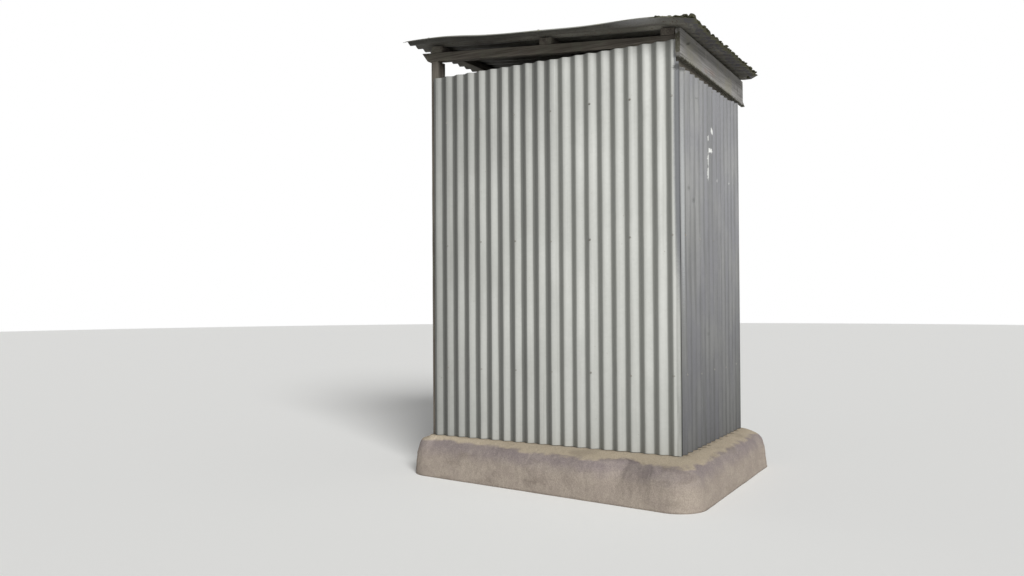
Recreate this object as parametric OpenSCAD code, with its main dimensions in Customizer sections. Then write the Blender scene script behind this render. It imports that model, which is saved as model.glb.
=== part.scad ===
// Corrugated-iron outhouse on a timber frame and a rough concrete slab.
// The front, with the door, faces -Y and the roof falls to the back, +Y.
// The origin is the point of the slab's underside that is below the middle of the frame.

/* [Slab] */
// Distance of the slab's right side from the middle, at its front end
slab_right_front = 680; // [670:10:900]
// Distance of the slab's right side from the middle, at its back end
slab_right_back = 830; // [670:10:900]
// Distance of the slab's left side from the middle
slab_left = 660; // [650:10:900]
// Length of the slab from front to back
slab_y = 1800; // [1780:10:2000]
// Distance of the slab's middle behind the middle of the frame
slab_shift = 40; // [0:5:60]
// Height of the slab
slab_h = 220; // [120:10:300]
// Radius of the slab's upright corners
slab_corner_r = 150; // [150:5:180]
// Radius of the slab's worn top edge
slab_edge_r = 60; // [40:2:74]

/* [Frame] */
// Width over the timber frame from side to side
frame_x = 1074; // [1000:2:1200]
// Length over the timber frame from front to back
frame_y = 1524; // [1500:2:1600]
// Wide side of a post or a rail
timber_w = 75; // [60:1:100]
// Narrow side of a post, a rail or a rafter
timber_t = 50; // [40:1:60]
// Height of the rafters' top above the slab, in the middle of the frame
rafter_top = 2204; // [2150:2:2300]
// Fall of the roof to the back in degrees
roof_fall = 5; // [3:0.5:8]
// Length of the rafter tails in front of the frame, at their top
tail_out = 68; // [40:2:120]
// Splay of the cut at the end of a rafter tail
tail_splay = 40; // [0:2:50]
// Thickness of a purlin
purlin_t = 36; // [32:1:50]
// Middle heights of the side wall rails above the slab
side_rail_heights = [400, 1120, 1830];
// Middle heights of the back wall rails above the slab
back_rail_heights = [400, 1120, 1990];

/* [Iron] */
// Distance from one corrugation to the next
pitch = 76.2; // [70:0.1:80]
// Depth of the corrugations over the middle of the sheet's thickness
depth = 16.2; // [14:0.1:19]
// Thickness of the sheet
sheet_t = 0.8; // [0.6:0.1:1.2]
// Height of the side wall sheets
side_sheet_h = 2112; // [2000:2:2134]
// Height of the back wall sheets
back_sheet_h = 1980; // [1960:2:2000]
// Length of the roof sheets along the slope
roof_sheet_l = 1775; // [1740:1:1850]
// Overhang of the roof sheets behind the frame
roof_back_out = 130; // [90:2:140]
// Overhang of the roof sheets at the right side of the frame
roof_side_out = 130; // [60:2:150]

/* [Fascia] */
// Distance of the fascia's right end from the middle
fascia_right = 570; // [556:2:610]
// Distance of the fascia's left end from the middle
fascia_left = 625; // [600:2:640]
// Length of the splinter at the foot of the fascia's left end
fascia_splinter = 50; // [30:2:60]
// Height of the fascia board
fascia_h = 148; // [120:1:152]
// Thickness of the fascia board
fascia_t = 25; // [20:1:32]
// Height of the fascia's middle above the slab
fascia_z = 2082; // [2060:1:2083]
// Slope of the fascia in degrees, its left end lower
fascia_tilt = 0.9; // [0:0.1:1.2]

/* [Door] */
// Height of the door leaf
door_h = 1945; // [1850:5:1960]
// Gap round the door leaf
door_gap = 8; // [6:1:14]
// Gap between the door leaf and the slab
door_foot = 18; // [10:1:30]
// Thickness of the door's timbers
door_t = 25; // [20:1:32]
// Width of the door's diagonal braces
brace_w = 60; // [40:1:80]
// Number of corrugations across the door sheet
door_corrugations = 11; // [10:1:11]

/* [Hidden] */

// Planes of the frame
side = frame_x / 2;
back = frame_y / 2;
front = -frame_y / 2;

// Middles of the slab's rounded corners, from the right back one round by the left
slab_corners = [
    [slab_right_back - slab_corner_r, slab_y / 2 - slab_corner_r],
    [slab_corner_r - slab_left, slab_y / 2 - slab_corner_r],
    [slab_corner_r - slab_left, slab_corner_r - slab_y / 2],
    [slab_right_front - slab_corner_r, slab_corner_r - slab_y / 2]
];

// Sheets: their middle plane off the frame, and the step of an upper sheet at a lap
sheet_out = depth / 2 + sheet_t / 2;
lap_gap = 0.2;
lap_step = sheet_t + lap_gap;
steps = 12;
wall_start = front + 6;
back_start = side + 48;
roof_start = side + roof_side_out;

// Ends of the sheets, counted in corrugations from where each wall or roof starts
side_ends = [[0.25, 10.75], [9.25, 20.1]];
back_ends = [[0.55, 10.75], [9.25, 14.7]];
roof_ends = [[0, 8.75], [7.75, 16.5]];

// Door: the opening between the posts, and the leaf in it
opening_x = frame_x - 2 * timber_w;
leaf_x = opening_x - 2 * door_gap;
door_rail_z = [door_foot, door_foot + (door_h - timber_w) / 2, door_foot + door_h - timber_w];
hinge_h = 100;
hinge_plate = 28;
hinge_t = 2.5;
knuckle_r = 6;
latch_z = slab_h + 1180;

// Purlins: their middles along the slope
purlin_y = [front + 42, 10, back - 47];

// Fascia: wear of its right end at the top and at the foot, and height of the splinter at its left end
fascia_worn = 9;
fascia_foot = 18;
splinter_h = 24;

// Cut-out of the side sheets' back edge for the fascia: its foot above the slab, and its clearance
notch_z = 1996;
notch_gap = 2;

galvanised = "#a9aba7";
old_timber = "#6f675c";
grey_board = "#8b8780";
concrete = "#b3a48c";
dark_iron = "#4d4743";

// Height of the rafters' top at a distance y behind the middle of the frame
function slope_z(y) = slab_h + rafter_top - y * tan(roof_fall);

// Depth of the corrugations at u corrugations from a valley
function wave(u) = -cos(360 * u) * depth / 2;

// One upright corner of the slab, its top edge worn round
module slab_corner() {
    round_z = slab_h - slab_edge_r;
    cylinder(r = slab_corner_r, h = round_z, $fn = 36);
    translate([0, 0, round_z]) rotate_extrude($fn = 36)
        translate([slab_corner_r - slab_edge_r, 0]) circle(r = slab_edge_r, $fn = 36);
}

module slab() {
    color(concrete) translate([0, slab_shift, 0])
        hull() for (corner = slab_corners) translate(corner) slab_corner();
}

// Upright of the frame between y0 and y1, its top cut to the fall of the rafters
module upright(y0, y1) {
    drop = timber_t / cos(roof_fall);
    color(old_timber) rotate([90, 0, 90]) linear_extrude(timber_w) polygon([
        [y0, slab_h], [y1, slab_h], [y1, slope_z(y1) - drop], [y0, slope_z(y0) - drop]
    ]);
}

module front_post() { translate([side - timber_w, 0, 0]) upright(front, front + timber_t); }
module back_post() { translate([side - timber_w, 0, 0]) upright(back - timber_t, back); }

module post_front_right() { front_post(); }
module post_front_left() { mirror([1, 0, 0]) front_post(); }
module post_back_right() { back_post(); }
module post_back_left() { mirror([1, 0, 0]) back_post(); }

// Rail of the right wall with its middle at the height z above the slab
module side_rail(z) {
    color(old_timber) translate([side - timber_t, front + timber_t, slab_h + z - timber_w / 2])
        cube([timber_t, frame_y - 2 * timber_t, timber_w]);
}

module rail_right_bottom() { side_rail(side_rail_heights[0]); }
module rail_right_middle() { side_rail(side_rail_heights[1]); }
module rail_right_top() { side_rail(side_rail_heights[2]); }
module rail_left_bottom() { mirror([1, 0, 0]) side_rail(side_rail_heights[0]); }
module rail_left_middle() { mirror([1, 0, 0]) side_rail(side_rail_heights[1]); }
module rail_left_top() { mirror([1, 0, 0]) side_rail(side_rail_heights[2]); }

// Rail of the back wall, between the back posts
module back_rail(z) {
    color(old_timber) translate([timber_w - side, back - timber_t, slab_h + z - timber_w / 2])
        cube([opening_x, timber_t, timber_w]);
}

module rail_back_bottom() { back_rail(back_rail_heights[0]); }
module rail_back_middle() { back_rail(back_rail_heights[1]); }
module rail_back_top() { back_rail(back_rail_heights[2]); }

// Cross timber over the door, between the front posts
module door_head() {
    color(old_timber) translate([-opening_x / 2, front, slab_h + door_foot + door_h + door_gap])
        cube([opening_x, timber_t, timber_w]);
}

// Sloping side beam on the posts, with a splayed tail at the front
module rafter() {
    drop = timber_t / cos(roof_fall);
    tail = front - tail_out;
    color(old_timber) translate([side - timber_t, 0, 0]) rotate([90, 0, 90]) linear_extrude(timber_t)
        polygon([
            [tail, slope_z(tail)], [tail + tail_splay, slope_z(tail + tail_splay) - drop],
            [back, slope_z(back) - drop], [back, slope_z(back)]
        ]);
}

module rafter_right() { rafter(); }
module rafter_left() { mirror([1, 0, 0]) rafter(); }

// Puts its children on the rafters: y runs down the slope and z stands square off it
module on_slope() {
    translate([0, 0, slab_h + rafter_top]) rotate([-roof_fall, 0, 0]) children();
}

module purlin(y) {
    length = frame_x + 2 * sheet_out;
    color(old_timber) on_slope() translate([-length / 2, y - timber_w / 2, 0])
        cube([length, timber_w, purlin_t]);
}

module purlin_front() { purlin(purlin_y[0]); }
module purlin_middle() { purlin(purlin_y[1]); }
module purlin_back() { purlin(purlin_y[2]); }

// Corrugated sheet: its corrugations run along z, it is counted along x, and its crests face y
module sheet(ends, length) {
    n = round((ends[1] - ends[0]) * steps);
    marks = [for (i = [0 : n]) ends[0] + i / steps];
    face = [for (u = marks) [u * pitch, wave(u) + sheet_t / 2]];
    rear = [for (i = [n : -1 : 0]) [marks[i] * pitch, wave(marks[i]) - sheet_t / 2]];
    color(galvanised) linear_extrude(length) polygon(concat(face, rear));
}

// Sheet of the left wall: the front one laps over the back one, which is cut out for the fascia
module side_sheet(i) {
    cut = side_sheet_h - notch_z;
    difference() {
        translate([-side - sheet_out - (1 - i) * lap_step, wall_start, slab_h])
            rotate([0, 0, 90]) sheet(side_ends[i], side_sheet_h);
        if (i == 1) color(galvanised) translate([-side - 2 * depth, back - notch_gap, slab_h + notch_z])
            cube([2 * depth + timber_t, pitch, 2 * cut]);
    }
}

module side_sheet_left_front() { side_sheet(0); }
module side_sheet_left_back() { side_sheet(1); }
module side_sheet_right_front() { mirror([1, 0, 0]) side_sheet(0); }
module side_sheet_right_back() { mirror([1, 0, 0]) side_sheet(1); }

// Sheet of the back wall, counted from the right corner
module back_sheet(i) {
    translate([back_start, back + sheet_out + i * lap_step, slab_h])
        mirror([1, 0, 0]) sheet(back_ends[i], back_sheet_h);
}

module back_sheet_right() { back_sheet(0); }
module back_sheet_left() { back_sheet(1); }

// Sheet of the roof, counted from the right edge, its corrugations down the slope
module roof_sheet(i) {
    on_slope() translate([roof_start, back + roof_back_out, purlin_t + sheet_out + i * lap_step])
        rotate([90, 0, 0]) mirror([1, 0, 0]) sheet(roof_ends[i], roof_sheet_l);
}

module roof_sheet_right() { roof_sheet(0); }
module roof_sheet_left() { roof_sheet(1); }

// Board across the back ends of the rafters, with a worn right end and a splintered left end
module fascia_back() {
    h = fascia_h / 2;
    color(grey_board) translate([0, back + fascia_t, slab_h + fascia_z])
        rotate([0, -fascia_tilt, 0]) rotate([90, 0, 0]) linear_extrude(fascia_t) polygon([
            [fascia_right - fascia_worn, h], [fascia_right, h - fascia_worn],
            [fascia_right, fascia_foot - h], [fascia_right - fascia_foot, -h],
            [-fascia_left - fascia_splinter, -h], [-fascia_left, splinter_h - h], [-fascia_left, h]
        ]);
}

// Upright of the door leaf, at its right edge
module door_stile() {
    color(old_timber) translate([leaf_x / 2 - timber_w, front, slab_h + door_foot])
        cube([timber_w, door_t, door_h]);
}

module door_stile_right() { door_stile(); }
module door_stile_left() { mirror([1, 0, 0]) door_stile(); }

// Cross timber of the door leaf with its foot at the height z above the slab
module door_rail(z) {
    length = leaf_x - 2 * timber_w;
    color(old_timber) translate([-length / 2, front, slab_h + z]) cube([length, door_t, timber_w]);
}

module door_rail_top() { door_rail(door_rail_z[2]); }
module door_rail_middle() { door_rail(door_rail_z[1]); }
module door_rail_bottom() { door_rail(door_rail_z[0]); }

// One diagonal in each panel of the door, falling to the hinge side
module door_braces() {
    panel_x = leaf_x - 2 * timber_w;
    panel_z = door_rail_z[1] - door_rail_z[0] - timber_w;
    color(old_timber) for (i = [0, 1])
        translate([0, front + door_t, slab_h + door_rail_z[i] + timber_w + panel_z / 2])
            rotate([90, 0, 0]) linear_extrude(door_t) intersection() {
                square([panel_x, panel_z], center = true);
                rotate(-atan2(panel_z, panel_x)) square([2 * panel_z, brace_w], center = true);
            }
}

module door_sheet() {
    translate([-door_corrugations * pitch / 2, front - sheet_out, slab_h + door_foot])
        mirror([0, 1, 0]) sheet([0, door_corrugations], door_h);
}

// Face-fixed hinge in front of the gap at the right edge of the leaf, its foot at the height z
module hinge(z) {
    color(dark_iron) translate([opening_x / 2 - door_gap / 2, front, slab_h + z]) union() {
        translate([-hinge_plate, -hinge_t, 0]) cube([2 * hinge_plate, hinge_t, hinge_h]);
        translate([0, -knuckle_r, 0]) cylinder(r = knuckle_r, h = hinge_h, $fn = 32);
    }
}

module hinge_top() { hinge(door_foot + door_h - 2.6 * hinge_h); }
module hinge_bottom() { hinge(door_foot + 1.6 * hinge_h); }

// Sliding bolt on the left stile, with its keeper on the left post
module latch() {
    plate_x = 32;
    plate_z = 46;
    bolt_r = 5;
    bolt_out = hinge_t + bolt_r;
    color(dark_iron) translate([door_gap / 2 - opening_x / 2, front, latch_z]) union() {
        for (s = [-1, 1]) {
            translate([s * 22 - plate_x / 2, -hinge_t, -plate_z / 2]) cube([plate_x, hinge_t, plate_z]);
            translate([s * 22 - 7, -bolt_out - 8, -9]) cube([14, bolt_out + 8, 18]);
        }
        translate([-34, -bolt_out, 0]) rotate([0, 90, 0]) cylinder(r = bolt_r, h = 68, $fn = 32);
        translate([8, -bolt_out, 0]) rotate([90, 0, 0]) cylinder(r = 4, h = 26, $fn = 32);
    }
}

slab();
post_front_right();
post_front_left();
post_back_right();
post_back_left();
rail_right_bottom();
rail_right_middle();
rail_right_top();
rail_left_bottom();
rail_left_middle();
rail_left_top();
rail_back_bottom();
rail_back_middle();
rail_back_top();
door_head();
rafter_right();
rafter_left();
purlin_front();
purlin_middle();
purlin_back();
side_sheet_right_front();
side_sheet_right_back();
side_sheet_left_front();
side_sheet_left_back();
back_sheet_right();
back_sheet_left();
roof_sheet_right();
roof_sheet_left();
fascia_back();
door_stile_right();
door_stile_left();
door_rail_top();
door_rail_middle();
door_rail_bottom();
door_braces();
door_sheet();
hinge_top();
hinge_bottom();
latch();
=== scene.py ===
"""Looks of a small outhouse of corrugated iron on a timber frame and a rough concrete slab.

The front, with the door, faces -Y, the roof falls to the back, +Y, and Z is up. All sizes are in metres,
unless a name ends in mm. Each sub-assembly is a class that builds its own meshes, and each finish is a
frozen dataclass.
"""

import logging
import math
import random
from dataclasses import dataclass, field
from enum import Enum
from functools import cached_property
from typing import Any, Callable, Sequence

import bmesh
import bpy
from mathutils import Matrix, Vector, noise


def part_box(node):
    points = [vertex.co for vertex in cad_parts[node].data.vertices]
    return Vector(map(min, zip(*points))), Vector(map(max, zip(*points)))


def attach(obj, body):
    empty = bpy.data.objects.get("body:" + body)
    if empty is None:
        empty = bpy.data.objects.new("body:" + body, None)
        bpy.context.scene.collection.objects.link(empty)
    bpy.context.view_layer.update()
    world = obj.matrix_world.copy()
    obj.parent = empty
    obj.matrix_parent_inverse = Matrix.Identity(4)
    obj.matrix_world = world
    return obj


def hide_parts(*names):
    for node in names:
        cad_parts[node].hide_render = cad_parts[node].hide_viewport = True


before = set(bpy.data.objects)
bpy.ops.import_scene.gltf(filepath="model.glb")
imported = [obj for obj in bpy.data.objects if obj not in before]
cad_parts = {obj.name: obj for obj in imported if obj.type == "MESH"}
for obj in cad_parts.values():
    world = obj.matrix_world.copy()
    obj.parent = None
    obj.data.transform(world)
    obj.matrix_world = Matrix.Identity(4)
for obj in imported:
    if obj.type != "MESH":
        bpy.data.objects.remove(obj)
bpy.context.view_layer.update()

LOG = logging.getLogger("outhouse")
MM = 0.001
BODY = "root"
CORRUGATION = "corrugation"

Triple = tuple[float, float, float]
Material = bpy.types.Material
Tree = bpy.types.NodeTree
Socket = bpy.types.NodeSocket
Coat = tuple[dict[str, Any], dict[str, Socket]]

# Settings that several nodes share
BLEND = {"data_type": "RGBA"}
DARKEN = {"data_type": "RGBA", "blend_type": "MULTIPLY"}
SMOOTH = {"interpolation_type": "SMOOTHSTEP"}
TIMES = {"operation": "MULTIPLY"}
TIMES_PLUS = {"operation": "MULTIPLY_ADD"}
LARGER = {"operation": "MAXIMUM"}

# How far a pattern's shift moves it along X, Y and Z
SHIFT_STEPS = (1.0, 0.7, 1.3)

# Sockets of the Mix node for colours: the upper colour's share, the two colours, and the result
SHARE, UNDER, OVER, MIXED = 0, 6, 7, 2


class Grain(Enum):
    """Axis that a timber's grain or a sheet's corrugations run along."""

    X = 0
    Y = 1
    Z = 2


class Side(Enum):
    """Side wall of the hut."""

    RIGHT = "right"
    LEFT = "left"


def linear(code: str) -> tuple[float, float, float, float]:
    """Turns an sRGB colour to linear light.

    Args:
        code: The colour as # and six hex digits.

    Returns:
        Red, green, blue and alpha, from 0 to 1.
    """
    parts = [int(code[i : i + 2], 16) / 255 for i in (1, 3, 5)]
    r, g, b = (c / 12.92 if c <= 0.04045 else ((c + 0.055) / 1.055) ** 2.4 for c in parts)
    return (r, g, b, 1.0)


def per_metre(size_mm: float) -> float:
    """Scale of a pattern whose features are size_mm across."""
    return 1.0 / (size_mm * MM)


def stretched(axis: Grain, across_mm: float, along_mm: float) -> Triple:
    """Feature size of a pattern that is drawn out along one axis."""
    size = [across_mm] * 3
    size[axis.value] = along_mm
    return tuple(size)


def add_node(
    tree: Tree,
    kind: str,
    settings: dict[str, Any] | None = None,
    values: dict[str | int, Any] | None = None,
    links: dict[str | int, Socket] | None = None,
    out: str | int = 0,
) -> Socket | None:
    """Adds a shader node with its settings and links.

    Args:
        tree: The node tree that the node goes into.
        kind: The node's type name, without the ShaderNode in front.
        settings: Attributes of the node.
        values: Constant values of inputs, by name or number.
        links: Output sockets that inputs are joined to, by name or number.
        out: The output that is asked for, by name or number.

    Returns:
        That output's socket, or None if the node has no outputs.
    """
    node = tree.nodes.new(f"ShaderNode{kind}")
    for name, value in (settings or {}).items():
        setattr(node, name, value)
    for key, value in (values or {}).items():
        node.inputs[key].default_value = value
    for key, source in (links or {}).items():
        tree.links.new(source, node.inputs[key])
    return node.outputs[out] if node.outputs else None


@dataclass(frozen=True)
class Cloud:
    """A cloudy pattern: its patches' size along X, Y and Z, and the noise where it starts and is full.

    The shift tells one pattern from the next, and detail and rough are the noise's octaves and the
    strength of the finer ones.
    """

    size_mm: Triple
    low: float
    high: float
    shift: float = 0.0
    detail: float = 4.0
    rough: float = 0.55


@dataclass(frozen=True)
class Spot:
    """One mark: its middle in metres, its half sizes in millimetres and its turn in degrees."""

    place: Triple
    half_mm: Triple
    turn_deg: Triple = (0.0, 0.0, 0.0)


@dataclass(frozen=True)
class Marks:
    """Marks of one colour on a finish, such as scuffs, with how strong and how broken up they are."""

    colour: str
    spots: tuple[Spot, ...]
    share: float = 0.8
    soft: float = 0.6
    broken_mm: float = 5.0
    broken: float = 0.5


@dataclass(frozen=True)
class Shade:
    """Darkening that fades along an axis, from dark, its darkest tone, at start to none at end, mostly
    painted shade.
    """

    axis: Grain
    start: float
    end: float
    dark: float


@dataclass(frozen=True)
class Stripes:
    """Painted shade on one side of every corrugation, placed by the sheet's own count from a valley."""

    colour: str
    middle: float
    start: float
    full: float
    share: float = 0.85
    wander: float = 0.16


@dataclass(frozen=True)
class Finish:
    """What all finishes share: one principled shader on object coordinates, and ways to layer its colour."""

    name: str

    @cached_property
    def material(self) -> Material:
        """The finish's material, which is built when it is first asked for."""
        material = bpy.data.materials.new(self.name)
        material.use_nodes = True
        tree = material.node_tree
        tree.nodes.clear()
        values, links = self.paint(tree, add_node(tree, "TexCoord", out="Object"))
        shader = add_node(tree, "BsdfPrincipled", values=values, links=links)
        add_node(tree, "OutputMaterial", links={"Surface": shader})
        return material

    def paint(self, tree: Tree, place: Socket) -> Coat:
        """Adds the finish's own nodes.

        Args:
            tree: The material's tree.
            place: Object coordinates.

        Returns:
            The shader's constant values, and the sockets that its other inputs are joined to.
        """
        raise NotImplementedError

    def mask(self, tree: Tree, place: Socket, cloud: Cloud) -> Socket:
        """Makes a mask of a cloudy pattern.

        Args:
            tree: The material's tree.
            place: Object coordinates.
            cloud: The pattern.

        Returns:
            A socket that runs from 0 to 1.
        """
        scale = tuple(per_metre(s) for s in cloud.size_mm)
        offset = tuple(cloud.shift * step for step in SHIFT_STEPS)
        seat = {"Location": offset, "Scale": scale}
        scaled = add_node(tree, "Mapping", values=seat, links={"Vector": place})
        octaves = {"Scale": 1.0, "Detail": cloud.detail, "Roughness": cloud.rough}
        haze = add_node(tree, "TexNoise", values=octaves, links={"Vector": scaled}, out="Fac")
        span = {"From Min": cloud.low, "From Max": cloud.high}
        return add_node(tree, "MapRange", SMOOTH, span, {"Value": haze})

    def layered(self, tree: Tree, colour: Socket, layers: Sequence[tuple[Socket, float, str]]) -> Socket:
        """Lays plain colours over a colour, each through its own mask.

        Args:
            tree: The material's tree.
            colour: The colour so far.
            layers: Each layer's mask, share and hex colour, the lowest layer first.

        Returns:
            The colour with the layers on it.
        """
        for mask, share, code in layers:
            part = add_node(tree, "Math", TIMES, {1: share}, {0: mask})
            colour = add_node(tree, "Mix", BLEND, {OVER: linear(code)}, {SHARE: part, UNDER: colour}, MIXED)
        return colour

    def marked(self, tree: Tree, place: Socket, colour: Socket, kinds: Sequence[Marks]) -> Socket:
        """Lays marks over a colour.

        Args:
            tree: The material's tree.
            place: Object coordinates.
            colour: The colour so far.
            kinds: The kinds of marks, the lowest first.

        Returns:
            The colour with the marks in it.
        """
        for marks in kinds:
            found = None
            for spot in marks.spots:
                seat = {
                    "Location": spot.place,
                    "Rotation": tuple(math.radians(a) for a in spot.turn_deg),
                    "Scale": tuple(s * MM for s in spot.half_mm),
                }
                local = add_node(tree, "Mapping", {"vector_type": "TEXTURE"}, seat, {"Vector": place})
                ball = {"gradient_type": "SPHERICAL"}
                near = add_node(tree, "TexGradient", ball, links={"Vector": local}, out="Fac")
                found = near if found is None else add_node(tree, "Math", LARGER, links={0: found, 1: near})
            gaps = self.mask(tree, place, Cloud((marks.broken_mm,) * 3, 0.35, 0.65, shift=5.3, detail=3))
            torn = add_node(tree, "Math", TIMES_PLUS, {1: -marks.broken}, {0: gaps, 2: found})
            span = {"From Min": 0.0, "From Max": marks.soft, "To Max": marks.share}
            worn = add_node(tree, "MapRange", SMOOTH, span, {"Value": torn})
            tone = {OVER: linear(marks.colour)}
            colour = add_node(tree, "Mix", BLEND, tone, {SHARE: worn, UNDER: colour}, MIXED)
        return colour

    def shaded(self, tree: Tree, place: Socket, colour: Socket, shades: Sequence[Shade]) -> Socket:
        """Darkens a colour along its axes.

        Args:
            tree: The material's tree.
            place: Object coordinates.
            colour: The colour so far.
            shades: The darkening, mostly painted shade.

        Returns:
            The darker colour.
        """
        for shade in shades:
            along = add_node(tree, "SeparateXYZ", links={"Vector": place}, out=shade.axis.value)
            span = {"From Min": shade.start, "From Max": shade.end, "To Min": shade.dark}
            fade = add_node(tree, "MapRange", values=span, links={"Value": along})
            colour = add_node(tree, "Mix", DARKEN, {SHARE: 1.0}, {UNDER: colour, OVER: fade}, MIXED)
        return colour


@dataclass(frozen=True)
class GalvanisedIron(Finish):
    """Old hot-dipped galvanised sheet: the zinc has dulled to a chalky grey with faint spangle and runs.

    Painted shade lies on one side of each corrugation, which gives the eye even dark stripes. The colour also
    darkens towards the foot, and painted shade darkens it towards the shaded end of a wall.
    """

    light: str = "#b6b7b2"
    dull: str = "#adaeaa"
    stain: str = "#8f8e88"
    rust: str = "#75604f"
    patches: Cloud = Cloud((300, 300, 480), 0.38, 0.64)
    run: Grain = Grain.Z
    run_mm: float = 22.0
    run_length_mm: float = 900.0
    run_share: float = 0.28
    rust_low: float = 0.74
    rust_edge: float = 0.05
    metallic: float = 0.05
    roughness: float = 0.50
    specular: float = 0.30
    spangle_mm: float = 14.0
    ripple_mm: float = 40.0
    wander: Cloud = Cloud((60, 60, 420), 0.3, 0.7, shift=4.9)
    stripes: Stripes | None = None
    shades: tuple[Shade, ...] = ()
    marks: tuple[Marks, ...] = ()

    def paint(self, tree: Tree, place: Socket) -> Coat:
        """Adds the zinc's colour, grime, painted shade, spangle and faint ripples.

        Args:
            tree: The material's tree.
            place: Object coordinates.

        Returns:
            The shader's constant values, and the sockets that its other inputs are joined to.
        """
        patches = self.mask(tree, place, self.patches)
        runs = Cloud(stretched(self.run, self.run_mm, self.run_length_mm), 0.45, 0.75, shift=3.1)
        streak = self.mask(tree, place, runs)
        rust = Cloud((8, 8, 8), self.rust_low, self.rust_low + self.rust_edge, shift=7.7, detail=2)
        specks = self.mask(tree, place, rust)
        zinc = {UNDER: linear(self.dull), OVER: linear(self.light)}
        base = add_node(tree, "Mix", BLEND, zinc, {SHARE: patches}, MIXED)
        colour = self.layered(tree, base, [(streak, self.run_share, self.stain)])
        # Painted shade on one side of each corrugation
        if self.stripes is not None:
            colour = self.striped(tree, place, colour, self.stripes)
        colour = self.layered(tree, colour, [(specks, 1.0, self.rust)])
        # Darkening along the axes, mostly painted shade
        colour = self.shaded(tree, place, colour, self.shades)
        colour = self.marked(tree, place, colour, self.marks)
        crystals = {"Scale": per_metre(self.spangle_mm)}
        spangle = add_node(tree, "TexVoronoi", values=crystals, links={"Vector": place}, out="Color")
        flake = add_node(tree, "MapRange", values={"To Min": 0.97, "To Max": 1.02}, links={"Value": spangle})
        toned = add_node(tree, "Mix", DARKEN, {SHARE: 1.0}, {UNDER: colour, OVER: flake}, MIXED)
        gloss = {"To Min": self.roughness - 0.05, "To Max": self.roughness + 0.12}
        matt = add_node(tree, "MapRange", values=gloss, links={"Value": streak})
        waves = {"Scale": per_metre(self.ripple_mm), "Detail": 5.0, "Roughness": 0.6}
        ripple = add_node(tree, "TexNoise", values=waves, links={"Vector": place}, out="Fac")
        relief = {"Strength": 0.25, "Distance": 1.0 * MM}
        bump = add_node(tree, "Bump", values=relief, links={"Height": ripple})
        constants = {"Metallic": self.metallic, "Specular IOR Level": self.specular}
        return constants, {"Base Color": toned, "Roughness": matt, "Normal": bump}

    def striped(self, tree: Tree, place: Socket, colour: Socket, stripes: Stripes) -> Socket:
        """Adds painted shade on one side of each corrugation.

        Args:
            tree: The material's tree.
            place: Object coordinates.
            colour: The colour so far.
            stripes: Where the painted shade lies, and its colour.

        Returns:
            The colour with the grime in it.
        """
        count = add_node(tree, "Attribute", {"attribute_name": CORRUGATION}, out="Fac")
        wander = self.mask(tree, place, self.wander)
        turns = {1: 2 * math.pi, 2: -2 * math.pi * stripes.middle}
        phase = add_node(tree, "Math", TIMES_PLUS, turns, {0: count})
        wave = add_node(tree, "Math", {"operation": "COSINE"}, links={0: phase})
        level = add_node(tree, "Math", TIMES_PLUS, {1: stripes.wander}, {0: wander, 2: wave})
        half = stripes.wander / 2
        span = {"From Min": stripes.start + half, "From Max": stripes.full + half, "To Max": stripes.share}
        shaded_side = add_node(tree, "MapRange", SMOOTH, span, {"Value": level})
        return self.layered(tree, colour, [(shaded_side, 1.0, stripes.colour)])


@dataclass(frozen=True)
class MossyIron(Finish):
    """Top of the roof sheets: darkened zinc under lichen, with moss thick along the lower end."""

    zinc: str = "#85867f"
    grime: str = "#56554c"
    lichen: str = "#8f8f78"
    moss: str = "#3d3d2b"
    moss_light: str = "#56563d"
    moss_from_y: float = 0.46
    moss_full_y: float = 0.86
    grit_mm: float = 6.0
    grime_patches: Cloud = Cloud((120, 380, 120), 0.38, 0.62)
    crust_patches: Cloud = Cloud((38, 38, 38), 0.56, 0.66, shift=2.3, detail=6)
    moss_patches: Cloud = Cloud((90, 90, 90), 0.42, 0.56, shift=8.9, detail=6)
    moss_tint: Cloud = Cloud((14, 14, 14), 0.4, 0.62, shift=1.7)

    def paint(self, tree: Tree, place: Socket) -> Coat:
        """Adds the zinc, the lichen and the moss.

        Args:
            tree: The material's tree.
            place: Object coordinates.

        Returns:
            The shader's constant values, and the sockets that its other inputs are joined to.
        """
        grime = self.mask(tree, place, self.grime_patches)
        crust = self.mask(tree, place, self.crust_patches)
        patch = self.mask(tree, place, self.moss_patches)
        tint = self.mask(tree, place, self.moss_tint)
        depth = add_node(tree, "SeparateXYZ", links={"Vector": place}, out="Y")
        reach = {"From Min": self.moss_from_y, "From Max": self.moss_full_y}
        low_end = add_node(tree, "MapRange", SMOOTH, reach, {"Value": depth})
        growth = add_node(tree, "Math", TIMES_PLUS, {1: 0.75}, {0: patch, 2: low_end})
        thick = add_node(tree, "MapRange", SMOOTH, {"From Min": 0.72, "From Max": 1.05}, {"Value": growth})
        zinc = {UNDER: linear(self.zinc), OVER: linear(self.grime)}
        base = add_node(tree, "Mix", BLEND, zinc, {SHARE: grime}, MIXED)
        crusted = self.layered(tree, base, [(crust, 1.0, self.lichen)])
        greens = {UNDER: linear(self.moss), OVER: linear(self.moss_light)}
        green = add_node(tree, "Mix", BLEND, greens, {SHARE: tint}, MIXED)
        grown = {SHARE: thick, UNDER: crusted, OVER: green}
        colour = add_node(tree, "Mix", BLEND, links=grown, out=MIXED)
        height = add_node(tree, "Math", {"operation": "ADD"}, links={0: crust, 1: thick})
        grains = {"Scale": per_metre(self.grit_mm), "Detail": 5.0}
        grit = add_node(tree, "TexNoise", values=grains, links={"Vector": place}, out="Fac")
        relief = add_node(tree, "Math", TIMES_PLUS, {1: 0.6}, {0: height, 2: grit})
        bump = add_node(tree, "Bump", values={"Strength": 0.6, "Distance": 3 * MM}, links={"Height": relief})
        constants = {"Metallic": 0.05, "Roughness": 0.82, "Specular IOR Level": 0.25}
        return constants, {"Base Color": colour, "Normal": bump}


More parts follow.
